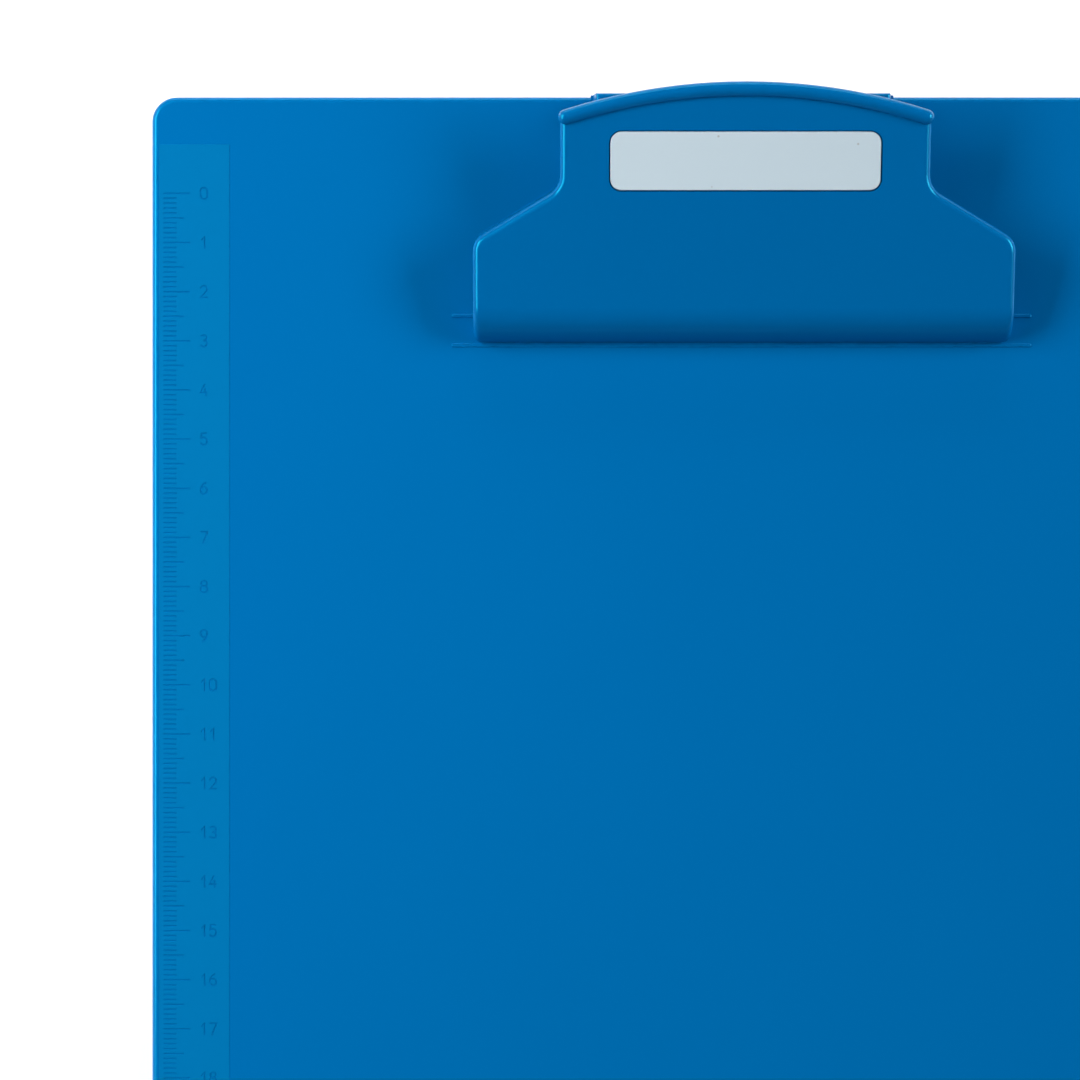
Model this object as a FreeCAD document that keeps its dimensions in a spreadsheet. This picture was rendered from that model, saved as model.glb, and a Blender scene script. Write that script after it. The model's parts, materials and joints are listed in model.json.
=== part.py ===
import FreeCAD, Part
import math
import os
import Sketcher

# A clipboard: a moulded board with a two-lever clip at its head. The clip's base is riveted to the
# board, the lever turns on a steel pin held in its own cheeks, and two torsion springs shut the jaw.
# Frame: X across the board, +Y towards the clip, +Z up, origin at the middle of the board's back.

SIZES = {
    "board_width": 240,
    "board_length": 320,
    "board_thickness": 3,
    "board_corner": 5,
    "board_face_round": 1.2,
    "board_back_round": 0.8,
    "guide_length": 118,
    "guide_width": 0.8,
    "guide_height": 0.25,
    "guide_round": 0.24,
    "guide_end_round": 0.39,
    "guide_first": 44.6,
    "guide_gap": 6,
    "pin_diameter": 3,
    "pin_length": 67.4,
    "pin_chamfer": 0.4,
    "pin_from_head": 24,
    "pin_above_face": 6,
    "pin_clearance": 0.05,
    "boss_radius": 3.3,
    "boss_arc": 3.303,
    "base_width": 61.4,
    "base_length": 32,
    "base_floor": 2,
    "base_corner": 1.5,
    "bar_depth": 5,
    "bar_height": 6,
    "bar_draft": 1.1,
    "bar_round": 0.6,
    "ear_outer": 60.4,
    "ear_thickness": 3,
    "ear_foot": 5.5,
    "leg_seat_inner": 10,
    "leg_seat_outer": 20,
    "leg_seat_start": 5,
    "leg_seat_end": 15,
    "seat_clearance": 0.05,
    "rivet_across": 23,
    "rivet_front": 28.5,
    "rivet_rear": 9.5,
    "rivet_shank": 3,
    "rivet_clearance": 0.1,
    "rivet_head": 5.2,
    "rivet_head_height": 0.9,
    "rivet_tail": 4.4,
    "rivet_tail_height": 0.8,
    "rivet_tail_flat": 3.5,
    "rivet_tail_rim": 0.2,
    "washer_diameter": 8,
    "washer_thickness": 0.5,
    "washer_pocket": 8.4,
    "washer_pocket_depth": 1.6,
    "wire_diameter": 1.2,
    "coil_radius": 2.4,
    "coil_pitch": 1.25,
    "coil_whole_turns": 5,
    "coil_start": 12,
    "spring_leg": 14,
    "lever_tilt": 12,
    "plate_top": 6.3,
    "plate_thickness": 2.2,
    "skirt_bottom": 1.3,
    "neck_width": 74,
    "jaw_width": 109,
    "jaw_corner": 2.3,
    "shoulder_start": 5.4,
    "shoulder_angle": 31,
    "shoulder_inner_round": 4.5,
    "shoulder_outer_round": 4,
    "lever_edge_round": 1.4,
    "roll_start": 18.8,
    "roll_radius": 8,
    "jaw_gap": 0.05,
    "lip_round": 0.3,
    "wall_rise_end": 16,
    "tab_reach": 25.2,
    "tab_arch_radius": 118,
    "bead_radius": 1.5,
    "bead_height": 6.2,
    "bead_width": 74.8,
    "cheek_inner": 62,
    "cheek_thickness": 2.5,
    "cheek_foot": 6,
    "rib_across": 23.5,
    "rib_width": 1.2,
    "rib_depth": 1.5,
    "rib_rear": 16,
    "label_middle": 10.85,
    "label_length": 54.5,
    "label_width": 12.2,
    "label_corner": 2.5,
    "label_depth": 1.2,
    "label_gap": 0.25,
    "label_thickness": 1.1,
    "label_round": 0.2,
    "overcut": 2,
    "plan_margin": 0.02,
}

# The lever's own frame has its origin on the hinge axis, y along the plate towards the tab and
# z square to the plate. Tilting the plate by lever_tilt leaves the jaw's lip upright.
TILT = "(Sheet.lever_tilt * 1 deg)"
SLOPE = "(Sheet.shoulder_angle * 1 deg)"
HALF_NECK = "Sheet.neck_width / 2"
HALF_JAW = "Sheet.jaw_width / 2"
PLATE_UNDER = "(Sheet.plate_top - Sheet.plate_thickness)"
SHOULDER_END = f"(Sheet.shoulder_start - ({HALF_JAW} - {HALF_NECK}) * tan({SLOPE}))"
LIP_DROP = (f"(Sheet.pin_above_face - Sheet.jaw_gap - Sheet.roll_start * sin({TILT})"
            f" + (Sheet.plate_top - Sheet.roll_radius) * cos({TILT}))")
ARCH_CENTRE = "(Sheet.tab_reach - Sheet.tab_arch_radius)"
BEAD_SWEEP = "asin((Sheet.bead_width / 2 - Sheet.bead_radius) / Sheet.tab_arch_radius)"
PIN_Y = "(Sheet.board_length / 2 - Sheet.pin_from_head)"
PIN_Z = "(Sheet.board_thickness + Sheet.pin_above_face)"

# How a sketch numbers its own origin, and the two ends and the centre of a line or arc.
ORIGIN_POINT = (-1, 1)
START = 1
END = 2
CENTRE = 3

# Two lengths closer than TOUCH are the same; normals within SIDEWAYS of level are upright faces.
TOUCH = 0.01
SIDEWAYS = 0.1
DOME_LIFT = 0.5


def make_sheet(document):
    """Spreadsheet of the driving dimensions, one alias for each."""
    sheet = document.addObject("Spreadsheet::Sheet", "Sheet")
    for row, (name, size) in enumerate(SIZES.items(), start=1):
        sheet.set(f"A{row}", name)
        sheet.set(f"B{row}", str(size))
        sheet.setAlias(f"B{row}", name)
    document.recompute()
    return sheet


def number(holder, expression):
    """What an expression on the sheet comes to."""
    return float(holder.evalExpression(expression))


def new_body(document, label, y="0", z="0"):
    """Body whose own origin stands at y, z of the clipboard's frame."""
    body = document.addObject("PartDesign::Body", label)
    body.Label = label
    body.setExpression("Placement.Base.y", y)
    body.setExpression("Placement.Base.z", z)
    return body


def tilt(item, place):
    """Turn an item's placement about X by the lever's tilt."""
    item.setExpression(f"{place}.Rotation.Axis.x", "1")
    item.setExpression(f"{place}.Rotation.Axis.z", "0")
    item.setExpression(f"{place}.Rotation.Angle", TILT)


def new_sketch(body, name, plane, offset="0"):
    """Sketch on one of the body's origin planes, moved along the plane's normal."""
    sketch = body.newObject("Sketcher::SketchObject", name)
    support = [item for item in body.Origin.OriginFeatures if item.Role == plane]
    sketch.AttachmentSupport = (support[0], [""])
    sketch.MapMode = "FlatFace"
    sketch.setExpression("AttachmentOffset.Base.z", offset)
    return sketch


def pin_point(sketch, geometry, point, x, y):
    """Tie a sketch point to its distances from the sketch's origin."""
    for kind, expression in (("DistanceX", x), ("DistanceY", y)):
        distance = number(sketch, expression)
        index = sketch.addConstraint(
            Sketcher.Constraint(kind, *ORIGIN_POINT, geometry, point, distance))
        sketch.setExpression(f"Constraints[{index}]", expression)


def arc_between(start, end, radius, turn):
    """Short arc from start to end that bends to the left (turn 1) or to the right (turn -1)."""
    chord = end - start
    rise = math.sqrt(max(radius ** 2 - (chord.Length / 2) ** 2, 0))
    left = FreeCAD.Vector(-chord.y, chord.x, 0).normalize()
    centre = (start + end) / 2 + left * rise * turn
    ends = (start, end) if turn > 0 else (end, start)
    angles = [math.atan2(point.y - centre.y, point.x - centre.x) for point in ends]
    return Part.ArcOfCircle(Part.Circle(centre, FreeCAD.Vector(0, 0, 1), radius), *angles)


def trace(sketch, stops):
    """Closed outline through stops (x, y) or (x, y, radius, turn), the last two for an arc."""
    points = [FreeCAD.Vector(number(sketch, stop[0]), number(sketch, stop[1]), 0) for stop in stops]
    heads = []
    for index, stop in enumerate(stops):
        start = points[index]
        end = points[(index + 1) % len(points)]
        if len(stop) == 2:
            run = sketch.addGeometry(Part.LineSegment(start, end))
            heads.append((run, START, END))
        else:
            radius, turn = stop[2:]
            run = sketch.addGeometry(arc_between(start, end, number(sketch, radius), turn))
            heads.append((run, START, END) if turn > 0 else (run, END, START))
            bend = sketch.addConstraint(Sketcher.Constraint("Radius", run, number(sketch, radius)))
            sketch.setExpression(f"Constraints[{bend}]", radius)
    for index, (run, head, _) in enumerate(heads):
        before, _, tail = heads[index - 1]
        sketch.addConstraint(Sketcher.Constraint("Coincident", before, tail, run, head))
        pin_point(sketch, run, head, *stops[index][:2])


def rectangle(sketch, left, right, low, high):
    """Rectangle with square corners."""
    trace(sketch, [(left, low), (right, low), (right, high), (left, high)])


def rounded_rectangle(sketch, left, right, low, high, radius):
    """Rectangle with a quarter round at each corner."""
    trace(sketch, [
        (f"{left} + {radius}", low), (f"{right} - {radius}", low, radius, 1),
        (right, f"{low} + {radius}"), (right, f"{high} - {radius}", radius, 1),
        (f"{right} - {radius}", high), (f"{left} + {radius}", high, radius, 1),
        (left, f"{high} - {radius}"), (left, f"{low} + {radius}", radius, 1)])


def circle(sketch, x, y, radius):
    """Full circle at x, y."""
    centre = FreeCAD.Vector(number(sketch, x), number(sketch, y), 0)
    size = number(sketch, radius)
    ring = sketch.addGeometry(Part.Circle(centre, FreeCAD.Vector(0, 0, 1), size))
    bend = sketch.addConstraint(Sketcher.Constraint("Radius", ring, size))
    sketch.setExpression(f"Constraints[{bend}]", radius)
    pin_point(sketch, ring, CENTRE, x, y)


def extrude(body, kind, sketch, length, both_ways=False, backwards=False):
    """Pad or Pocket of a sketch, which must change the body's volume the way its kind says."""
    before = body.Shape.Volume if body.Tip else 0
    feature = body.newObject(f"PartDesign::{kind}", f"{sketch.Name}_{kind}")
    feature.Profile = sketch
    feature.SideType = "Symmetric" if both_ways else "One side"
    feature.Reversed = backwards
    feature.setExpression("Length", length)
    body.Document.recompute()
    grows = body.Shape.Volume > before
    if grows != (kind == "Pad"):
        raise ValueError(f"{feature.Name} does not change {body.Label} as a {kind} should")
    return feature


def edges_between(shape, first, second):
    """Names of the edges that join a face passing the first test to one passing the second."""
    names = []
    for index, edge in enumerate(shape.Edges, start=1):
        faces = shape.ancestorsOfType(edge, Part.Face)
        for one, other in (faces, faces[::-1]) if len(faces) == 2 else ():
            if first(one) and second(other):
                names.append(f"Edge{index}")
                break
    return names


def middle_normal(face):
    """Outward normal at the middle of a face's parameter range."""
    u_low, u_high, v_low, v_high = face.ParameterRange
    return face.normalAt((u_low + u_high) / 2, (v_low + v_high) / 2)


def is_wall(face):
    """Upright face."""
    return abs(middle_normal(face).z) < TOUCH


def is_skin(face):
    """Face that looks upwards."""
    return middle_normal(face).z > SIDEWAYS


def is_under(face):
    """Face that looks downwards."""
    return middle_normal(face).z < -SIDEWAYS


def at_height(height):
    """Test for a level face at a height in the body's own frame."""
    def test(face):
        return face.BoundBox.ZLength < TOUCH and abs(face.BoundBox.ZMin - height) < TOUCH
    return test


def dress_edges(body, kind, name, edges, size_name, size):
    """Fillet or Chamfer on named edges of the body's last feature."""
    if not edges:
        raise ValueError(f"{name} has no edges")
    base = body.Tip
    dressing = body.newObject(f"PartDesign::{kind}", name)
    dressing.Base = (base, edges)
    dressing.setExpression(size_name, size)
    body.Document.recompute()
    if "Invalid" in dressing.State or "Error" in dressing.State:
        raise ValueError(f"{name} fails on {len(edges)} edges")


def round_edges(body, name, edges, radius):
    """Fillet on named edges of the body's last feature."""
    dress_edges(body, "Fillet", name, edges, "Radius", radius)


def rivet_places(sheet):
    """Four rivet centres, which stand square under the base."""
    head = sheet.board_length / 2
    return [(side * sheet.rivet_across, head - setback)
            for side in (-1, 1) for setback in (sheet.rivet_front, sheet.rivet_rear)]


def rivet_circles(sketch, radius):
    """One circle for each rivet in a sketch seen from above."""
    for side in ("-1", "1"):
        for setback in ("Sheet.rivet_front", "Sheet.rivet_rear"):
            circle(sketch, f"{side} * Sheet.rivet_across",
                   f"Sheet.board_length / 2 - {setback}", radius)


def make_board(document, sheet):
    """Flat moulded board with rounded edges, two paper guides and the rivets' pockets behind."""
    body = new_body(document, "board")
    outline = new_sketch(body, "BoardOutline", "XY_Plane")
    rounded_rectangle(outline, "-Sheet.board_width / 2", "Sheet.board_width / 2",
                      "-Sheet.board_length / 2", "Sheet.board_length / 2", "Sheet.board_corner")
    extrude(body, "Pad", outline, "Sheet.board_thickness")
    face_edges = edges_between(body.Tip.Shape, at_height(sheet.board_thickness), is_wall)
    round_edges(body, "BoardFaceRound", face_edges, "Sheet.board_face_round")
    back_edges = edges_between(body.Tip.Shape, at_height(0), lambda face: not is_under(face))
    round_edges(body, "BoardBackRound", back_edges, "Sheet.board_back_round")
    shanks = new_sketch(body, "BoardShanks", "XY_Plane")
    rivet_circles(shanks, "Sheet.rivet_shank / 2 + Sheet.rivet_clearance")
    extrude(body, "Pocket", shanks, "Sheet.board_thickness", backwards=True)
    pockets = new_sketch(body, "BoardWasherPockets", "XY_Plane")
    rivet_circles(pockets, "Sheet.washer_pocket / 2")
    extrude(body, "Pocket", pockets, "Sheet.washer_pocket_depth", backwards=True)
    add_guides(body, sheet)
    return body


def add_guides(body, sheet):
    """Two thin guides across the board, just below the jaw, that paper is squared against."""
    guides = new_sketch(body, "Guides", "XY_Plane", "Sheet.board_thickness")
    for step in ("0", "1"):
        middle = f"Sheet.board_length / 2 - Sheet.guide_first - {step} * Sheet.guide_gap"
        rectangle(guides, "-Sheet.guide_length / 2", "Sheet.guide_length / 2",
                  f"{middle} - Sheet.guide_width / 2", f"{middle} + Sheet.guide_width / 2")
    extrude(body, "Pad", guides, "Sheet.guide_height")
    top = sheet.board_thickness + sheet.guide_height

    def is_guide_end(face):
        return face.BoundBox.XLength < TOUCH and abs(face.BoundBox.ZMax - top) < TOUCH

    def is_guide_side(face):
        return face.BoundBox.YLength < TOUCH and abs(face.BoundBox.ZMax - top) < TOUCH

    round_edges(body, "GuideEndRound", edges_between(body.Tip.Shape, is_guide_end, is_guide_side),
                "Sheet.guide_end_round")
    round_edges(body, "GuideTopRound", edges_between(body.Tip.Shape, at_height(top), is_wall),
                "Sheet.guide_round")


def make_hinge_base(document, sheet):
    """Base of the clip: a floor on the board, a rear bar and two ears that carry the pin."""
    body = new_body(document, "hinge_base", z="Sheet.board_thickness")
    head = "Sheet.board_length / 2"
    floor = new_sketch(body, "BaseFloor", "XY_Plane")
    half = "Sheet.base_width / 2"
    front = f"{head} - Sheet.base_length"
    corner = "Sheet.base_corner"
    trace(floor, [(f"-{half}", f"{front} + {corner}", corner, 1), (f"-{half} + {corner}", front),
                  (f"{half} - {corner}", front, corner, 1), (half, f"{front} + {corner}"),
                  (half, head), (f"-{half}", head)])
    extrude(body, "Pad", floor, "Sheet.base_floor")
    add_rear_bar(body, sheet)
    add_ears(body)
    seats = new_sketch(body, "BaseLegSeats", "XY_Plane")
    for side in ("-1", "1"):
        rectangle(seats, f"{side} * Sheet.leg_seat_inner", f"{side} * Sheet.leg_seat_outer",
                  f"{PIN_Y} + Sheet.leg_seat_start", f"{PIN_Y} + Sheet.leg_seat_end")
    extrude(body, "Pad", seats, "Sheet.pin_above_face - Sheet.coil_radius"
            " - Sheet.wire_diameter / 2 - Sheet.seat_clearance")
    shanks = new_sketch(body, "BaseShanks", "XY_Plane")
    rivet_circles(shanks, "Sheet.rivet_shank / 2 + Sheet.rivet_clearance")
    extrude(body, "Pocket", shanks, "Sheet.base_floor", backwards=True)
    return body


def add_rear_bar(body, sheet):
    """Bar along the board's head that stops the tab when the clip is squeezed open."""
    bar = new_sketch(body, "RearBar", "XZ_Plane", "-Sheet.board_length / 2")
    half = "Sheet.base_width / 2"
    trace(bar, [(f"-{half}", "0"), (half, "0"),
                (f"{half} - Sheet.bar_draft", "Sheet.bar_height"),
                (f"-{half} + Sheet.bar_draft", "Sheet.bar_height")])
    extrude(body, "Pad", bar, "Sheet.bar_depth")
    top = at_height(sheet.bar_height)
    round_edges(body, "BarRound", edges_between(body.Tip.Shape, top, lambda face: not top(face)),
                "Sheet.bar_round")


def add_ears(body):
    """Two upright ears with a round boss about the pin, bored with a running clearance."""
    foot = "Sheet.ear_foot"
    ears = new_sketch(body, "Ears", "YZ_Plane")
    trace(ears, [(f"{PIN_Y} - {foot}", "0"), (f"{PIN_Y} + {foot}", "0"),
                 (f"{PIN_Y} + Sheet.boss_radius", "Sheet.pin_above_face", "Sheet.boss_arc", 1),
                 (f"{PIN_Y} - Sheet.boss_radius", "Sheet.pin_above_face")])
    extrude(body, "Pad", ears, "Sheet.ear_outer", both_ways=True)
    between = new_sketch(body, "BetweenEars", "YZ_Plane")
    rectangle(between, f"{PIN_Y} - 2 * {foot}", f"{PIN_Y} + 2 * {foot}",
              "Sheet.base_floor", "Sheet.pin_above_face + 2 * Sheet.boss_radius")
    extrude(body, "Pocket", between, "Sheet.ear_outer - 2 * Sheet.ear_thickness", both_ways=True)
    bore = new_sketch(body, "EarBores", "YZ_Plane")
    circle(bore, PIN_Y, "Sheet.pin_above_face", "Sheet.pin_diameter / 2 + Sheet.pin_clearance")
    extrude(body, "Pocket", bore, "Sheet.base_width", both_ways=True)


def make_clip_lever(document, sheet):
    """Moulded lever: a hollow, skirted plate that rolls down into the jaw and ends in a bead."""
    body = new_body(document, "clip_lever", PIN_Y, PIN_Z)
    tilt(body, "Placement")
    add_lever_block(body)
    trim_lever_outline(body)
    round_lever(body)
    hollow_lever(body)
    add_bead(body)
    add_lever_fittings(body)
    return body


def lip_point(across, down):
    """Stop on the upright lip, so far behind its front face and so far below the roll's end."""
    front = f"(-Sheet.roll_start - Sheet.roll_radius * cos({TILT}))"
    level = f"(Sheet.plate_top - Sheet.roll_radius + Sheet.roll_radius * sin({TILT}))"
    return (f"{front} + {across} * cos({TILT}) - {down} * sin({TILT})",
            f"{level} - {across} * sin({TILT}) - {down} * cos({TILT})")


def add_lever_block(body):
    """The lever's side section, filled in: plate, roll, lip, rising wall edge and skirt edge."""
    side = new_sketch(body, "LeverSide", "YZ_Plane")
    roll_end = lip_point("0", "0")
    tail = "Sheet.tab_reach + Sheet.bead_radius"
    trace(side, [
        (tail, "Sheet.plate_top"),
        ("-Sheet.roll_start", "Sheet.plate_top", "Sheet.roll_radius", 1),
        roll_end,
        lip_point("0", LIP_DROP),
        lip_point("Sheet.plate_thickness", LIP_DROP),
        ("-Sheet.wall_rise_end", "Sheet.skirt_bottom"),
        (tail, "Sheet.skirt_bottom")])
    extrude(body, "Pad", side, "Sheet.jaw_width + 2 * Sheet.overcut", both_ways=True)


def shoulder_stops(wall, front, rear):
    """Right half of the lever's plan from its front to its tab, moved in by a wall."""
    shift = f"({wall} * (tan({SLOPE}) - 1 / cos({SLOPE})))"
    return [(f"{HALF_JAW} - {wall}", front),
            (f"{HALF_JAW} - {wall}", f"{SHOULDER_END} + {shift}"),
            (f"{HALF_NECK} - {wall}", f"Sheet.shoulder_start + {shift}"),
            (f"{HALF_NECK} - {wall}", rear)]


def mirrored(stops):
    """Stops on the left for stops on the right, in the order that closes the outline."""
    return [(f"-({x})", y) for x, y in reversed(stops)]


def trim_lever_outline(body):
    """Cut away everything outside the plan: jaw corners, shoulders, neck and arched tab."""
    plan = new_sketch(body, "LeverPlan", "XY_Plane")
    front = "(-Sheet.roll_start - Sheet.roll_radius - Sheet.plan_margin)"
    corner = "Sheet.jaw_corner"
    arch_end = f"({ARCH_CENTRE} + sqrt(Sheet.tab_arch_radius ^ 2 - ({HALF_NECK}) ^ 2))"
    right = shoulder_stops("0", f"{front} + {corner}", arch_end)
    left = mirrored(right)
    trace(plan, [(f"-{HALF_JAW} + {corner}", front), (f"{HALF_JAW} - {corner}", front, corner, 1),
                 *right[:3], (*right[3], "Sheet.tab_arch_radius", 1),
                 *left[:3], (*left[3], corner, 1)])
    rectangle(plan, "-Sheet.jaw_width", "Sheet.jaw_width", "-Sheet.jaw_width", "Sheet.jaw_width")
    extrude(body, "Pocket", plan, "Sheet.jaw_width", both_ways=True)


def round_lever(body):
    """Round the shoulders in plan, then the whole top edge from the tab round to the lip."""
    def upright_at(x, y):
        place = FreeCAD.Vector(number(body, x), number(body, y), 0)
        names = []
        for index, edge in enumerate(body.Tip.Shape.Edges, start=1):
            middle = edge.BoundBox.Center
            if FreeCAD.Vector(abs(middle.x), middle.y, 0).distanceToPoint(place) < TOUCH:
                names.append(f"Edge{index}")
        return names

    round_edges(body, "ShoulderInner", upright_at(HALF_NECK, "Sheet.shoulder_start"),
                "Sheet.shoulder_inner_round")
    round_edges(body, "ShoulderOuter", upright_at(HALF_JAW, SHOULDER_END),
                "Sheet.shoulder_outer_round")

    def is_side(face):
        return is_wall(face) and abs(face.BoundBox.Center.x) > TOUCH

    round_edges(body, "LeverEdge", edges_between(body.Tip.Shape, is_skin, is_side),
                "Sheet.lever_edge_round")


def hollow_lever(body):
    """Hollow the block from below: the plate's underside, then the inside of the roll."""
    inside = new_sketch(body, "LeverInside", "XY_Plane", PLATE_UNDER)
    right = shoulder_stops("Sheet.plate_thickness", "-Sheet.roll_start", "2 * Sheet.tab_reach")
    trace(inside, right + mirrored(right))
    extrude(body, "Pocket", inside, "Sheet.jaw_width")
    throat = new_sketch(body, "RollInside", "YZ_Plane")
    inner_radius = "(Sheet.roll_radius - Sheet.plate_thickness)"
    trace(throat, [
        ("-Sheet.roll_start + Sheet.overcut", PLATE_UNDER),
        ("-Sheet.roll_start", PLATE_UNDER, inner_radius, 1),
        lip_point("Sheet.plate_thickness", "0"),
        lip_point("Sheet.plate_thickness", "Sheet.roll_radius"),
        ("-Sheet.roll_start + Sheet.overcut", "-Sheet.roll_radius")])
    extrude(body, "Pocket", throat, "Sheet.jaw_width - 2 * Sheet.plate_thickness", both_ways=True)

    tall = number(body, LIP_DROP)

    def is_lip_back(face):
        low = face.BoundBox.Center.z < 0
        return low and abs(face.BoundBox.ZLength - tall) < tall and middle_normal(face).y > SIDEWAYS

    round_edges(body, "LipRound", edges_between(body.Tip.Shape, is_under, is_lip_back),
                "Sheet.lip_round")


def add_bead(body):
    """Arched finger bead along the tab's end, round in section with round ends."""
    section = new_sketch(body, "BeadSection", "YZ_Plane")
    circle(section, "Sheet.tab_reach", "Sheet.bead_height", "Sheet.bead_radius")
    centre = number(section, ARCH_CENTRE)
    axis = section.addGeometry(Part.LineSegment(
        FreeCAD.Vector(centre, 0, 0), FreeCAD.Vector(centre, -centre, 0)), True)
    pin_point(section, axis, START, ARCH_CENTRE, "0")
    pin_point(section, axis, END, ARCH_CENTRE, f"-{ARCH_CENTRE}")
    bead = body.newObject("PartDesign::Revolution", "Bead")
    bead.Profile = section
    bead.ReferenceAxis = (section, ["Axis0"])
    bead.Midplane = True
    bead.setExpression("Angle", f"2 * {BEAD_SWEEP}")
    body.Document.recompute()
    for side, name in (("-1", "BeadEndLeft"), ("1", "BeadEndRight")):
        cap = body.newObject("PartDesign::AdditiveSphere", name)
        cap.setExpression("Radius", "Sheet.bead_radius")
        cap.setExpression("Placement.Base.x", f"{side} * Sheet.tab_arch_radius * sin({BEAD_SWEEP})")
        cap.setExpression("Placement.Base.y",
                          f"{ARCH_CENTRE} + Sheet.tab_arch_radius * cos({BEAD_SWEEP})")
        cap.setExpression("Placement.Base.z", "Sheet.bead_height")
        body.Document.recompute()


def add_lever_fittings(body):
    """Under the plate: cheeks for the pin, seats for the spring legs, ribs; on top: the recess."""
    cheek = new_sketch(body, "Cheeks", "YZ_Plane")
    trace(cheek, [("Sheet.cheek_foot", PLATE_UNDER), ("-Sheet.cheek_foot", PLATE_UNDER),
                  ("-Sheet.boss_radius", "0", "Sheet.boss_arc", 1),
                  ("Sheet.boss_radius", "0")])
    extrude(body, "Pad", cheek, "Sheet.cheek_inner + 2 * Sheet.cheek_thickness", both_ways=True)
    between = new_sketch(body, "BetweenCheeks", "YZ_Plane")
    rectangle(between, "-2 * Sheet.boss_radius", "2 * Sheet.boss_radius",
              "-2 * Sheet.boss_radius", PLATE_UNDER)
    extrude(body, "Pocket", between, "Sheet.cheek_inner", both_ways=True)
    bore = new_sketch(body, "CheekBores", "YZ_Plane")
    circle(bore, "0", "0", "Sheet.pin_diameter / 2")
    extrude(body, "Pocket", bore, "Sheet.pin_length", both_ways=True)
    seats = new_sketch(body, "LeverLegSeats", "XY_Plane", PLATE_UNDER)
    ribs = new_sketch(body, "LeverRibs", "XY_Plane", PLATE_UNDER)
    for side in ("-1", "1"):
        rectangle(seats, f"{side} * Sheet.leg_seat_inner", f"{side} * Sheet.leg_seat_outer",
                  "Sheet.leg_seat_start", "Sheet.leg_seat_end")
        rectangle(ribs, f"{side} * Sheet.rib_across", f"{side} * (Sheet.rib_across + Sheet.rib_width)",
                  "-Sheet.roll_start", "Sheet.rib_rear")
    extrude(body, "Pad", seats, f"{PLATE_UNDER} - Sheet.coil_radius - Sheet.wire_diameter / 2"
            " - Sheet.seat_clearance", backwards=True)
    extrude(body, "Pad", ribs, "Sheet.rib_depth", backwards=True)
    recess = new_sketch(body, "LabelRecess", "XY_Plane", "Sheet.plate_top")
    label_outline(recess, "0")
    extrude(body, "Pocket", recess, "Sheet.label_depth")


def label_outline(sketch, gap):
    """Rounded outline of the label, moved in by a gap."""
    rounded_rectangle(sketch, f"-Sheet.label_length / 2 + {gap}", f"Sheet.label_length / 2 - {gap}",
                      f"(Sheet.label_middle - Sheet.label_width / 2 + {gap})",
                      f"(Sheet.label_middle + Sheet.label_width / 2 - {gap})",
                      f"(Sheet.label_corner - {gap})")


def make_label_plate(document, sheet):
    """Blank inlay plate bonded into the recess on the lever."""
    body = new_body(document, "label_plate", PIN_Y, PIN_Z)
    tilt(body, "Placement")
    outline = new_sketch(body, "LabelOutline", "XY_Plane", "Sheet.plate_top - Sheet.label_depth")
    label_outline(outline, "Sheet.label_gap")
    extrude(body, "Pad", outline, "Sheet.label_thickness")
    top = at_height(sheet.plate_top - sheet.label_depth + sheet.label_thickness)
    round_edges(body, "LabelRound", edges_between(body.Tip.Shape, top, is_wall), "Sheet.label_round")
    return body


def make_hinge_pin(document, sheet):
    """Steel pin along X, pressed into the lever's cheeks and free to turn in the base's ears."""
    body = new_body(document, "hinge_pin", PIN_Y, PIN_Z)
    section = new_sketch(body, "PinSection", "YZ_Plane")
    circle(section, "0", "0", "Sheet.pin_diameter / 2")
    extrude(body, "Pad", section, "Sheet.pin_length", both_ways=True)
    ends = [f"Edge{index}" for index, edge in enumerate(body.Tip.Shape.Edges, start=1)
            if edge.BoundBox.XLength < TOUCH]
    dress_edges(body, "Chamfer", "PinChamfer", ends, "Size", "Sheet.pin_chamfer")
    return body


def make_spring(document, label, side):
    """Torsion spring about the pin: a lower leg on the base, the coil, an upper leg on the lever."""
    body = new_body(document, label, PIN_Y, PIN_Z)
    wire = "Sheet.wire_diameter / 2"
    lower = new_sketch(body, f"{label}_lower", "XZ_Plane")
    circle(lower, f"{side} * Sheet.coil_start", "-Sheet.coil_radius", wire)
    turns = "(Sheet.coil_whole_turns + (180 - Sheet.lever_tilt) / 360)"
    coil = body.newObject("PartDesign::AdditiveHelix", f"{label}_coil")
    coil.Profile = lower
    axis = [item for item in body.Origin.OriginFeatures if item.Role == "X_Axis"]
    coil.ReferenceAxis = (axis[0], [""])
    coil.Mode = "pitch-turns-angle"
    coil.LeftHanded = side > 0
    coil.Reversed = side < 0
    coil.setExpression("Pitch", "Sheet.coil_pitch")
    coil.setExpression("Turns", turns)
    document.recompute()
    extrude(body, "Pad", lower, "Sheet.spring_leg", backwards=True)
    upper = new_sketch(body, f"{label}_upper", "XZ_Plane")
    tilt(upper, "AttachmentOffset")
    circle(upper, f"{side} * (Sheet.coil_start + Sheet.coil_pitch * {turns})",
           "Sheet.coil_radius", wire)
    extrude(body, "Pad", upper, "Sheet.spring_leg", backwards=True)
    return body


def turned(points, places, crown=()):
    """Compound of one turned solid at each place, from (radius, height) points and a crown arc."""
    corners = [FreeCAD.Vector(radius, 0, height) for radius, height in points]
    dome = [FreeCAD.Vector(radius, 0, height) for radius, height in crown]
    edges = Part.makePolygon([*dome[-1:], *corners, *(dome[:1] or corners[:1])]).Edges
    if dome:
        edges.append(Part.Arc(*dome).toShape())
    face = Part.Face(Part.Wire(edges))
    solid = face.revolve(FreeCAD.Vector(0, 0, 0), FreeCAD.Vector(0, 0, 1), 360)
    return Part.makeCompound([solid.translated(FreeCAD.Vector(x, y, 0)) for x, y in places])


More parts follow.
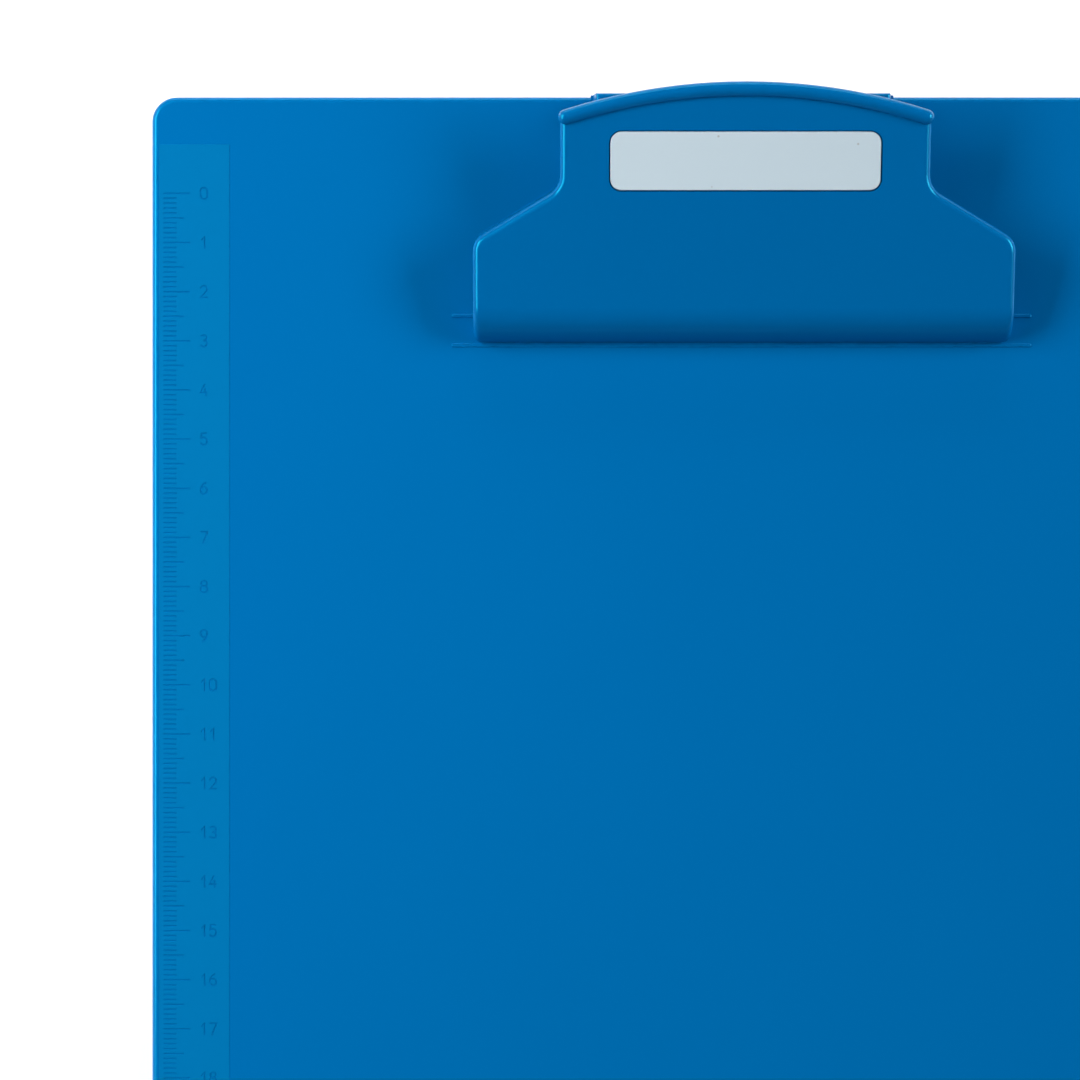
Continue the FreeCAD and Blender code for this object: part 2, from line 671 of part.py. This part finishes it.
def make_rivets(document, sheet):
    """Four rivets: head on the base's floor, tail spread over the washer in the board's back."""
    shank = sheet.rivet_shank / 2
    head = sheet.rivet_head / 2
    tail = sheet.rivet_tail / 2
    floor = sheet.board_thickness + sheet.base_floor
    washer = sheet.washer_pocket_depth - sheet.washer_thickness
    low = washer - sheet.rivet_tail_height
    rise = sheet.rivet_head_height
    ball = (head ** 2 + rise ** 2) / (2 * rise)
    lift = math.asin(head / ball) * DOME_LIFT
    middle = (ball * math.sin(lift), floor + rise - ball * (1 - math.cos(lift)))
    rivets = document.addObject("Part::Feature", "base_rivets")
    rivets.Label = "base_rivets"
    rivets.Shape = turned(
        [(0, low), (sheet.rivet_tail_flat / 2, low), (tail, washer - sheet.rivet_tail_rim),
         (tail, washer), (shank, washer), (shank, floor)],
        rivet_places(sheet), [(head, floor), middle, (0, floor + rise)])
    return rivets


def make_washers(document, sheet):
    """Four plain washers that spread the rivet tails' load in the board's back."""
    top = sheet.washer_pocket_depth
    low = top - sheet.washer_thickness
    bore = sheet.rivet_shank / 2 + sheet.pin_clearance
    rim = sheet.washer_diameter / 2
    washers = document.addObject("Part::Feature", "rivet_washers")
    washers.Label = "rivet_washers"
    washers.Shape = turned([(bore, low), (rim, low), (rim, top), (bore, top)], rivet_places(sheet))
    return washers


def check_and_export(document, nodes):
    """Stop on any failed object or shape, then write one STEP file for each node."""
    document.recompute()
    for item in document.Objects:
        if "Invalid" in item.State or "Error" in item.State:
            raise ValueError(f"{item.Name} failed: {item.State}")
    for node in nodes:
        if node.Shape.isNull() or not node.Shape.isValid():
            raise ValueError(f"{node.Label} has no valid shape")
    os.makedirs("parts", exist_ok=True)
    for node in nodes:
        node.Shape.exportStep(f"parts/{node.Label}.step")
        box = node.Shape.BoundBox
        print(f"{node.Label}: {len(node.Shape.Solids)} solid(s), {node.Shape.Volume:.1f} mm3,"
              f" z {box.ZMin:.2f} to {box.ZMax:.2f}")


document = FreeCAD.newDocument("Clipboard")
sheet = make_sheet(document)
check_and_export(document, [
    make_board(document, sheet),
    make_hinge_base(document, sheet),
    make_rivets(document, sheet),
    make_washers(document, sheet),
    make_clip_lever(document, sheet),
    make_label_plate(document, sheet),
    make_hinge_pin(document, sheet),
    make_spring(document, "spring_left", -1),
    make_spring(document, "spring_right", 1)])
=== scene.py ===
import json
import math

import bmesh
import bpy
from mathutils import Matrix, Vector


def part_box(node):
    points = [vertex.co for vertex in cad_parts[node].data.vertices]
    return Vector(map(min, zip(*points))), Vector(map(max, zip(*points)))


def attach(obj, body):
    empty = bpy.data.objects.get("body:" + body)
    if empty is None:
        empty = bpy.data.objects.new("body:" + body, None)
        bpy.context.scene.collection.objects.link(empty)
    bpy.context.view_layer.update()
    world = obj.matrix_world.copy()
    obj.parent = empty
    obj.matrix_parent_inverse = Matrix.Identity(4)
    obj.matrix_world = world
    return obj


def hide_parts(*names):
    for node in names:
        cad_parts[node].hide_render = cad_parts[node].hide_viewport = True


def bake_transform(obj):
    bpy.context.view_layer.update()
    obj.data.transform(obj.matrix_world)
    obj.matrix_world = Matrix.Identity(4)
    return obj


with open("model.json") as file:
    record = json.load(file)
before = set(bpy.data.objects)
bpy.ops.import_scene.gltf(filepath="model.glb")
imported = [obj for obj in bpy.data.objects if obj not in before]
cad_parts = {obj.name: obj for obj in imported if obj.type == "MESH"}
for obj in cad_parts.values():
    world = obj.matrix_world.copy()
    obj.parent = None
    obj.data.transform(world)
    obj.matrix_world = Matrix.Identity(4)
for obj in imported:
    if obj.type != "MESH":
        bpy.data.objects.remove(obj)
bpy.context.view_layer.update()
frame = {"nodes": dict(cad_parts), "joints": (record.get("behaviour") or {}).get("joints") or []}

# Viewpoint: straight above the clip half of the board, a little left of its middle and square to it,
# with a long lens far enough off that the clip's height hardly shifts its outline.
MM = 0.001
board_low, board_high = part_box("board")
board_face = board_low.z + 3 * MM
eye_height = 702 * MM
eye_left = 41 * MM
eye_toward_clip = 69.8 * MM

lens = bpy.data.cameras.new("studio_camera")
lens.sensor_width = 36
lens.lens = 115
lens.clip_start = 0.05
lens.clip_end = 20
camera = bpy.data.objects.new("studio_camera", lens)
camera.location = (-eye_left, eye_toward_clip, board_face + eye_height)
bpy.context.scene.collection.objects.link(camera)
bpy.context.scene.camera = camera


# Lights: two big soft lights facing each other across the board, the left one near and the right one
# far off, a faint one over the left shoulder and a long low one beyond the clip, in a dark room.
bpy.context.scene.view_settings.view_transform = "Standard"
lit_spot = Vector((0, 0.05, 0))
room_colour = (0.80, 0.84, 0.88, 1)
room_glow = 0.005


def soft_light(name, place, size, power):
    """Rectangular soft light, so many watts strong, that faces the clip."""
    lamp = bpy.data.lights.new(name, "AREA")
    lamp.shape = "RECTANGLE"
    lamp.size, lamp.size_y = size
    lamp.energy = power
    light = bpy.data.objects.new(name, lamp)
    light.location = place
    light.rotation_euler = (lit_spot - light.location).to_track_quat("-Z", "Y").to_euler()
    bpy.context.scene.collection.objects.link(light)


soft_light("left_softbox", (-0.62, 0.17, 0.42), (0.6, 0.3), 5.75)
soft_light("upper_left_softbox", (-0.55, 0.62, 0.80), (0.5, 0.4), 0.9)
soft_light("right_softbox", (1.85, 0.45, 1.05), (1.4, 0.7), 38)
soft_light("head_softbox", (0.0, 1.45, 0.36), (1.0, 0.3), 3.5)

room = bpy.data.worlds.new("studio_room")
room.use_nodes = True
background = room.node_tree.nodes["Background"]
background.inputs["Color"].default_value = room_colour
background.inputs["Strength"].default_value = room_glow
bpy.context.scene.world = room


# Studio: a round matt white table under the board, which glows a little and more so far out, inside
# a round white wall. The wall is only a backdrop: it neither lights the board nor shows in its gloss.
floor_level = board_low.z - 0.2 * MM
floor_reach = 9.0
wall_height = 3.0
wall_sides = 48
near_glow = (0.32, 0.32, 0.32, 1)
far_glow = (0.92, 0.92, 0.92, 1)
glow_distance = 1.1
glow_spread = 0.7
wall_glow = 0.9


class Shade:
    """A socket of a material. Sums and products with it add Math nodes to its tree."""

    def __init__(self, tree, socket):
        self.tree = tree
        self.socket = socket

    def node(self, kind, settings=None, inputs=None, result=0):
        """Output of a new node, whose settings are made before its sockets are filled."""
        made = self.tree.nodes.new(kind)
        for name, value in (settings or {}).items():
            setattr(made, name, value)
        for name, value in (inputs or {}).items():
            if isinstance(value, Shade):
                self.tree.links.new(value.socket, made.inputs[name])
            else:
                made.inputs[name].default_value = value
        return Shade(self.tree, made.outputs[result])

    def math(self, operation, first, second):
        """Result of one Math node."""
        return self.node("ShaderNodeMath", {"operation": operation}, {0: first, 1: second})

    def __add__(self, other):
        return self.math("ADD", self, other)

    def __sub__(self, other):
        return self.math("SUBTRACT", self, other)

    def __rsub__(self, other):
        return self.math("SUBTRACT", other, self)

    def __mul__(self, other):
        return self.math("MULTIPLY", self, other)

    __radd__ = __add__
    __rmul__ = __mul__

    def above(self, level, soft):
        """0 below a level and 1 above it, with a soft step between."""
        return self.node("ShaderNodeMapRange", {"interpolation_type": "SMOOTHSTEP"}, {
            "Value": self, "From Min": level - soft, "From Max": level + soft})

    def noise(self, scale, detail=2.0, roughness=0.5):
        """Even cloud noise about 0, with so many features a metre at this position."""
        cloud = self.node("ShaderNodeTexNoise", inputs={
            "Vector": self, "Scale": scale, "Detail": detail, "Roughness": roughness})
        return cloud - 0.5

    def stretched(self, x, y, z):
        """This position scaled along each axis."""
        return self.node("ShaderNodeVectorMath", {"operation": "MULTIPLY"}, {0: self, 1: (x, y, z)})

    def from_centre(self):
        """Distance of this position from the frame's origin."""
        return self.node("ShaderNodeVectorMath", {"operation": "LENGTH"}, {0: self}, "Value")

    def height(self):
        """How high this position is."""
        return self.node("ShaderNodeSeparateXYZ", inputs={0: self}, result="Z")

    def blend(self, first, second):
        """Colour that goes from the first to the second as this goes from 0 to 1."""
        return self.node("ShaderNodeMix", {"data_type": "RGBA"}, {0: self, 6: first, 7: second}, 2)

    def bump(self, depth):
        """Normal of a surface raised by this height, 1 meaning so many metres."""
        return self.node("ShaderNodeBump", inputs={"Height": self, "Distance": depth, "Strength": 1.0})


def new_material(name, **constants):
    """Material with a Principled shader, its constants set, and the position on the piece."""
    material = bpy.data.materials.new(name)
    material.use_nodes = True
    tree = material.node_tree
    shader = tree.nodes["Principled BSDF"]
    for socket, value in constants.items():
        shader.inputs[socket.replace("_", " ")].default_value = value
    place = tree.nodes.new("ShaderNodeTexCoord")
    return material, shader, Shade(tree, place.outputs["Object"])


def wire_up(shader, **links):
    """Feed the shader's sockets from shades."""
    for socket, shade in links.items():
        shade.tree.links.new(shade.socket, shader.inputs[socket.replace("_", " ")])


def wear(piece, material):
    """Give every slot of a piece this material, adding one where there is none."""
    if not piece.material_slots:
        piece.data.materials.append(material)
    for place in piece.material_slots:
        place.material = material


def set_piece(name, points, faces):
    """Object of the studio, which isn't part of the clipboard."""
    mesh = bpy.data.meshes.new(name)
    mesh.from_pydata(points, [], faces)
    made = bpy.data.objects.new(name, mesh)
    bpy.context.scene.collection.objects.link(made)
    return made


turns = [2 * math.pi * side / wall_sides for side in range(wall_sides)]
rims = [[(floor_reach * math.cos(turn), floor_reach * math.sin(turn), level) for turn in turns]
        for level in (floor_level, floor_level + wall_height)]
table = set_piece("table", rims[0], [range(wall_sides)])
wall = set_piece("studio_wall", rims[0] + rims[1], [
    (side, (side + 1) % wall_sides, wall_sides + (side + 1) % wall_sides, wall_sides + side)
    for side in range(wall_sides)])
wall.visible_diffuse = False
wall.visible_glossy = False

cloth, shader, position = new_material(
    "matt_table", Roughness=0.9, Specular_IOR_Level=0.1, Emission_Strength=1.0)
wire_up(
    shader,
    Base_Color=(position.noise(3) + 0.5).blend((0.91, 0.915, 0.92, 1), (0.94, 0.94, 0.94, 1)),
    Emission_Color=position.from_centre().above(glow_distance, glow_spread).blend(near_glow, far_glow))
wear(table, cloth)

paint, shader, position = new_material(
    "wall_paint", Roughness=0.95, Emission_Color=(1, 1, 1, 1), Emission_Strength=wall_glow)
wire_up(
    shader,
    Base_Color=(position.noise(0.5) + 0.5).blend((0.88, 0.89, 0.90, 1), (0.92, 0.92, 0.92, 1)))
wear(wall, paint)


# Board: one injection-moulded sheet of blue styrene, satin all over, with a fine orange peel from
# the mould's polish. Its face and back edges are rounded in the mould.
deep_blue = (0, 0.156, 0.455, 1)
flow_blue = (0, 0.164, 0.475, 1)
blue_gloss = {"IOR": 1.45, "Specular_Tint": (0, 0.74, 1, 1)}
board_gloss = 0.24
board_peel = 0.006 * MM


def moulded_plastic(name, first, second, gloss, peel):
    """Satin moulded plastic with a faint flow mottle, smudged gloss and orange peel."""
    material, shader, position = new_material(name, Specular_IOR_Level=1.0, **blue_gloss)
    flow = position.stretched(1, 0.4, 1).noise(18, 3)
    wire_up(
        shader,
        Base_Color=(flow * 0.9 + 0.5).blend(first, second),
        Roughness=position.noise(35, 4) * 0.10 + position.noise(900) * 0.05 + gloss,
        Normal=(position.noise(420) + position.noise(2600) * 0.35).bump(peel))
    return material


wear(frame["nodes"]["board"],
     moulded_plastic("board_plastic", deep_blue, flow_blue, board_gloss, board_peel))


# Ruler: a raised strip of spark-eroded texture along the board's left edge, moulded in one with the
# board. Its centimetre scale and figures are smooth drafted grooves, almost through the strip.
strip_left = board_low.x + 1.5 * MM
strip_right = strip_left + 14.3 * MM
strip_head = board_high.y - 9.7 * MM
strip_foot = strip_head - 300 * MM
strip_sunk = 0.1 * MM
strip_rise = 0.08 * MM
strip_bevel = 0.05 * MM
groove_floor = board_face + 0.01 * MM
groove_mouth = board_face + 2 * strip_rise
groove_half = 0.11 * MM
groove_draft = 0.8
mouth_half = groove_half + groove_draft * (groove_mouth - board_face)
longest_mitre = 1.6
zero_mark = board_high.y - 19.7 * MM
mark_start = strip_left + 0.95 * MM
mark_lengths = {10: 5.3 * MM, 5: 4.05 * MM, 1: 2.55 * MM}
last_centimetre = 28
figure_left = board_low.x + 9.95 * MM
figure_width = 1.38 * MM
figure_height = 2.35 * MM
figure_step = 1.85 * MM
# The first pair of blues, for the groove floors, is a darker copy of the strip's blue: painted shade in
# the grooves.
shaded_groove_blues = (0, 0.138, 0.393, 1), (0, 0.144, 0.406, 1)
frosted_blues = (0, 0.158, 0.425, 1), (0, 0.177, 0.448, 1)
frost_gloss = 0.4
frost_depth = 0.02 * MM
degrees_a_step = 15


def bow(x, y, wide, tall, first, last):
    """Points along an elliptical arc about x, y, from one angle to another in degrees."""
    steps = max(4, round(abs(last - first) / degrees_a_step))
    turns = [math.radians(first + (last - first) * step / steps) for step in range(steps + 1)]
    return [(x + wide * math.cos(turn), y + tall * math.sin(turn)) for turn in turns]


def loop(x, y, wide, tall):
    """Closed oval."""
    return bow(x, y, wide, tall, 90, 450)[:-1]


# Each figure is one or two strokes in a unit square. A stroke marked True closes on itself.
figures = {
    "0": [(bow(0.5, 0.7, 0.5, 0.3, 0, 180) + bow(0.5, 0.3, 0.5, 0.3, 180, 360), True)],
    "1": [([(0.15, 0.72), (0.6, 1), (0.6, 0)], False)],
    "2": [(bow(0.5, 0.71, 0.46, 0.29, 165, -25) + [(0.02, 0), (1, 0)], False)],
    "3": [(bow(0.48, 0.76, 0.44, 0.24, 150, -95), False), (bow(0.48, 0.26, 0.5, 0.26, 95, -150), False)],
    "4": [([(0.62, 1), (0, 0.28), (1, 0.28)], False), ([(0.72, 0.62), (0.72, 0)], False)],
    "5": [([(0.92, 1), (0.16, 1), (0.08, 0.52)], False), (bow(0.46, 0.32, 0.5, 0.32, 130, -150), False)],
    "6": [(loop(0.5, 0.3, 0.48, 0.3), True), (bow(1.02, 0.3, 1, 0.72, 104, 176), False)],
    "7": [([(0, 1), (1, 1), (0.35, 0)], False)],
    "8": [(loop(0.5, 0.27, 0.5, 0.27), True), (loop(0.5, 0.77, 0.42, 0.23), True)],
    "9": [(loop(0.5, 0.7, 0.48, 0.3), True), (bow(-0.02, 0.7, 1, 0.72, -4, -76), False)],
}


def groove_ring(cutter, point, comes, goes, end):
    """Four corners of a groove's section, mitred between two runs. End is -1 or 1 at an open end."""
    along = (comes + goes).normalized()
    across = Vector((-along.y, along.x))
    square = Vector((-comes.y, comes.x))
    mitre = min(1 / max(across.dot(square), 0.1), longest_mitre)
    ring = []
    edges = (groove_floor, groove_half, (1, -1)), (groove_mouth, mouth_half, (-1, 1))
    for level, half, sides in edges:
        middle = point + goes * (half - groove_half) * end
        for side in sides:
            corner = middle + across * half * mitre * side
            ring.append(cutter.verts.new((corner.x, corner.y, level)))
    return ring


def join_rings(shape, first, second, smooth=False):
    """Band of quads between two rings."""
    for corner in range(len(first)):
        following = (corner + 1) % len(first)
        band = shape.faces.new((first[corner], first[following], second[following], second[corner]))
        band.smooth = smooth


def add_groove(cutter, path, closed=False):
    """Add the solid that cuts one groove, narrower at its floor, along a flat path."""
    points = [Vector(point) for point in path]
    runs = [(end - start).normalized() for start, end in zip(points, points[1:])]
    if closed:
        closing = [(points[0] - points[-1]).normalized()]
        before, after = closing + runs, runs + closing
    else:
        before, after = [runs[0], *runs], [*runs, runs[-1]]
    last = len(points) - 1
    rings = [groove_ring(cutter, point, comes, goes, 0 if closed else (index == last) - (index == 0))
             for index, (point, comes, goes) in enumerate(zip(points, before, after))]
    for first, second in zip(rings, rings[1:]):
        join_rings(cutter, first, second)
    if closed:
        join_rings(cutter, rings[-1], rings[0])
    else:
        cutter.faces.new(rings[0][::-1])
        cutter.faces.new(rings[-1])


def new_piece(name, shape):
    """Object made from a bmesh, which is used up."""
    mesh = bpy.data.meshes.new(name)
    shape.to_mesh(mesh)
    shape.free()
    piece = bpy.data.objects.new(name, mesh)
    bpy.context.scene.collection.objects.link(piece)
    return piece


def cut_away(piece, cutter):
    """Take a cutter's solids out of a piece."""
    bmesh.ops.recalc_face_normals(cutter, faces=cutter.faces)
    tool = new_piece("cutter", cutter)
    trim = piece.modifiers.new("trim", "BOOLEAN")
    trim.operation = "DIFFERENCE"
    trim.solver = "MANIFOLD"
    trim.object = tool
    shapes = bpy.context.evaluated_depsgraph_get()
    cut = bpy.data.meshes.new_from_object(piece.evaluated_get(shapes))
    piece.modifiers.clear()
    piece.data = cut
    bpy.data.objects.remove(tool)


slab = bmesh.new()
bmesh.ops.create_cube(slab, size=1)
slab_middle = ((strip_left + strip_right) / 2, (strip_head + strip_foot) / 2,
               board_face + (strip_rise - strip_sunk) / 2)
slab_size = (strip_right - strip_left, strip_head - strip_foot, strip_rise + strip_sunk, 1)
slab.transform(Matrix.Translation(slab_middle) @ Matrix.Diagonal(slab_size))
rim = [edge for edge in slab.edges if all(vert.co.z > board_face for vert in edge.verts)]
bmesh.ops.bevel(slab, geom=rim, offset=strip_bevel, segments=2, profile=0.5, affect="EDGES")
ruler = new_piece("ruler_strip", slab)

# The second strokes of the figures are cut after the first ones, because the two overlap.
cutters = [bmesh.new(), bmesh.new()]
for mark in range(last_centimetre * 10 + 1):
    level = zero_mark - mark * MM
    length = next(size for every, size in mark_lengths.items() if mark % every == 0)
    add_groove(cutters[0], [(mark_start, level), (mark_start + length, level)])
for centimetre in range(last_centimetre + 1):
    for place, figure in enumerate(str(centimetre)):
        corner = Vector((figure_left + place * figure_step,
                         zero_mark - centimetre * 10 * MM - figure_height / 2))
        for cutter, (stroke, closed) in zip(cutters, figures[figure]):
            add_groove(cutter, [corner + Vector((x * figure_width, y * figure_height))
                                for x, y in stroke], closed)
for cutter in cutters:
    cut_away(ruler, cutter)

ruler_plastic, shader, position = new_material(
    "ruler_plastic", Specular_IOR_Level=frost_gloss, **blue_gloss)
# The mask is 1 on the frosted top and 0 on the groove floors. The floors get a darker blue, which is
# painted shade in the grooves; their smoother gloss is their own.
frost = position.height().above(board_face + strip_rise * 0.8, strip_rise * 0.1)
grain = position.noise(5200, 3, 0.7)
painted_groove_shade = (position.noise(18, 3) * 0.9 + 0.5).blend(*shaded_groove_blues)
frosted_top = (grain * 1.4 + 0.5).blend(*frosted_blues)
wire_up(
    shader,
    Base_Color=frost.blend(painted_groove_shade, frosted_top),
    Roughness=frost * (grain * 0.2 + 0.28) + 0.30,
    Normal=(frost * grain).bump(frost_depth))
wear(ruler, ruler_plastic)
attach(ruler, "board")


# Hinge base: the fixed half of the clip, moulded in a blue a little darker than the board's. Its floor
# is riveted to the board, its ears carry the pin and its rear bar stops the tab.
clip_blues = (0, 0.141, 0.415, 1), (0, 0.148, 0.435, 1)
clip_gloss = 0.22
clip_peel = 0.005 * MM
clip_plastic = moulded_plastic("clip_plastic", *clip_blues, clip_gloss, clip_peel)
wear(frame["nodes"]["hinge_base"], clip_plastic)


# Clip lever: the moving half, one hollow moulding that rolls over into the jaw. It is moulded in the
# same blue as the base, a little smoother than the board, and turns on the pin.
wear(frame["nodes"]["clip_lever"], clip_plastic)


# Label plate: a blank pale grey film on a stiff card, bonded into the lever's recess. It is matt,
# very slightly cloudy and carries a few specks of dust.
film_greys = (0.580, 0.705, 0.785, 1), (0.595, 0.722, 0.800, 1)
dust_grey = (0.42, 0.47, 0.50, 1)
speck_size = 0.045
film_grain = 0.004 * MM

film, shader, position = new_material("label_film", Specular_IOR_Level=0.35)
from_speck = position.node("ShaderNodeTexVoronoi", {"feature": "F1"}, {"Vector": position, "Scale": 210})
dust = 1 - from_speck.above(speck_size, 0.02)
cloud = position.noise(60, 4) * 0.8 + 0.5
wire_up(
    shader,
    Base_Color=dust.blend(cloud.blend(*film_greys), dust_grey),
    Roughness=position.noise(700, 3) * 0.12 + 0.52,
    Normal=position.noise(3800, 3).bump(film_grain))
wear(frame["nodes"]["label_plate"], film)


# Hinge pin: a ground steel pin, nickel plated, pressed into the lever's cheeks. The grinding left
# fine rings round it.
worked_depth = 0.004 * MM


def plated_steel(name, colour, lines, gloss):
    """Bright plated steel with fine working lines and a cloudy gloss."""
    material, shader, position = new_material(name, Metallic=1.0)
    worked = position.stretched(*lines).noise(1)
    haze = position.noise(260, 3)
    dull = [part * 0.86 for part in colour]
    wire_up(
        shader,
        Base_Color=(haze * 0.8 + 0.5).blend((*dull, 1), (*colour, 1)),
        Roughness=worked * 0.16 + haze * 0.10 + gloss,
        Normal=worked.bump(worked_depth))
    return material


wear(frame["nodes"]["hinge_pin"],
     plated_steel("pin_steel", (0.62, 0.61, 0.58), (9000, 300, 300), 0.24))


# Springs: a pair of zinc-plated steel torsion springs threaded on the pin, mirror images of each
# other. The lower leg bears on the base, the upper leg lifts the tab, and the coil twists between.
wire_radius = 0.6 * MM
wire_chamfer = wire_radius / 4
wire_sides = 16
coil_radius = 2.4 * MM
whole_turns = 5
steps_a_turn = 48
leg_length = 14 * MM
lever_tilt = math.radians(12)
hinge = Vector(frame["joints"][0]["pos_m"])
spring_steel = plated_steel("spring_steel", (0.60, 0.62, 0.65), (2600, 2600, 2600), 0.30)


def spring_line(first_x, last_x):
    """Centre line of a spring: lower leg, coil, upper leg."""
    sweep = 2 * math.pi * whole_turns + math.pi - lever_tilt
    steps = round(sweep / (2 * math.pi) * steps_a_turn)
    line = [Vector((first_x, leg_length, -coil_radius))]
    for step in range(steps + 1):
        share = step / steps
        turn = -math.pi / 2 - sweep * share
        line.append(Vector((first_x + (last_x - first_x) * share,
                            coil_radius * math.cos(turn), coil_radius * math.sin(turn))))
    upper_leg = Vector((0, math.cos(lever_tilt), math.sin(lever_tilt))) * leg_length
    return [hinge + point for point in [*line, line[-1] + upper_leg]]


def wire_tube(name, line):
    """Round wire along a line, with its cut ends chamfered."""
    tube = bmesh.new()
    runs = [(end - start).normalized() for start, end in zip(line, line[1:])]
    bends = [(first + second).normalized() for first, second in zip(runs, runs[1:])]
    end_radius = wire_radius - wire_chamfer
    stations = [(line[0], runs[0], end_radius),
                (line[0] + runs[0] * wire_chamfer, runs[0], wire_radius),
                *((point, bend, wire_radius) for point, bend in zip(line[1:], bends)),
                (line[-1] - runs[-1] * wire_chamfer, runs[-1], wire_radius),
                (line[-1], runs[-1], end_radius)]
    turns = [2 * math.pi * step / wire_sides for step in range(wire_sides)]
    normal = runs[0].cross(Vector((1, 0, 0))).normalized()
    rings = []
    for centre, along, radius in stations:
        normal = (normal - along * normal.dot(along)).normalized()
        side = along.cross(normal)
        rings.append([tube.verts.new(centre + (normal * math.cos(turn) + side * math.sin(turn)) * radius)
                      for turn in turns])
    for first, second in zip(rings, rings[1:]):
        join_rings(tube, first, second, smooth=True)
    tube.faces.new(rings[0][::-1])
    tube.faces.new(rings[-1])
    return new_piece(name, tube)


for hand in ("left", "right"):
    low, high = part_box(f"spring_{hand}")
    inner, outer = sorted((low.x, high.x), key=abs)
    toward = math.copysign(wire_radius, outer)
    spring = wire_tube(f"{hand}_torsion_spring", spring_line(inner + toward, outer - toward))
    wear(spring, spring_steel)
    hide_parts(f"spring_{hand}")
    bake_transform(spring)


# Rivets and washers: zinc-plated steel. The rivets' heads sit on the base's floor and their tails
# are spread over plain washers in round pockets in the board's back.
zinc = plated_steel("zinc_plate", (0.66, 0.67, 0.68), (1400, 1400, 300), 0.34)
wear(frame["nodes"]["base_rivets"], zinc)
wear(frame["nodes"]["rivet_washers"], zinc)
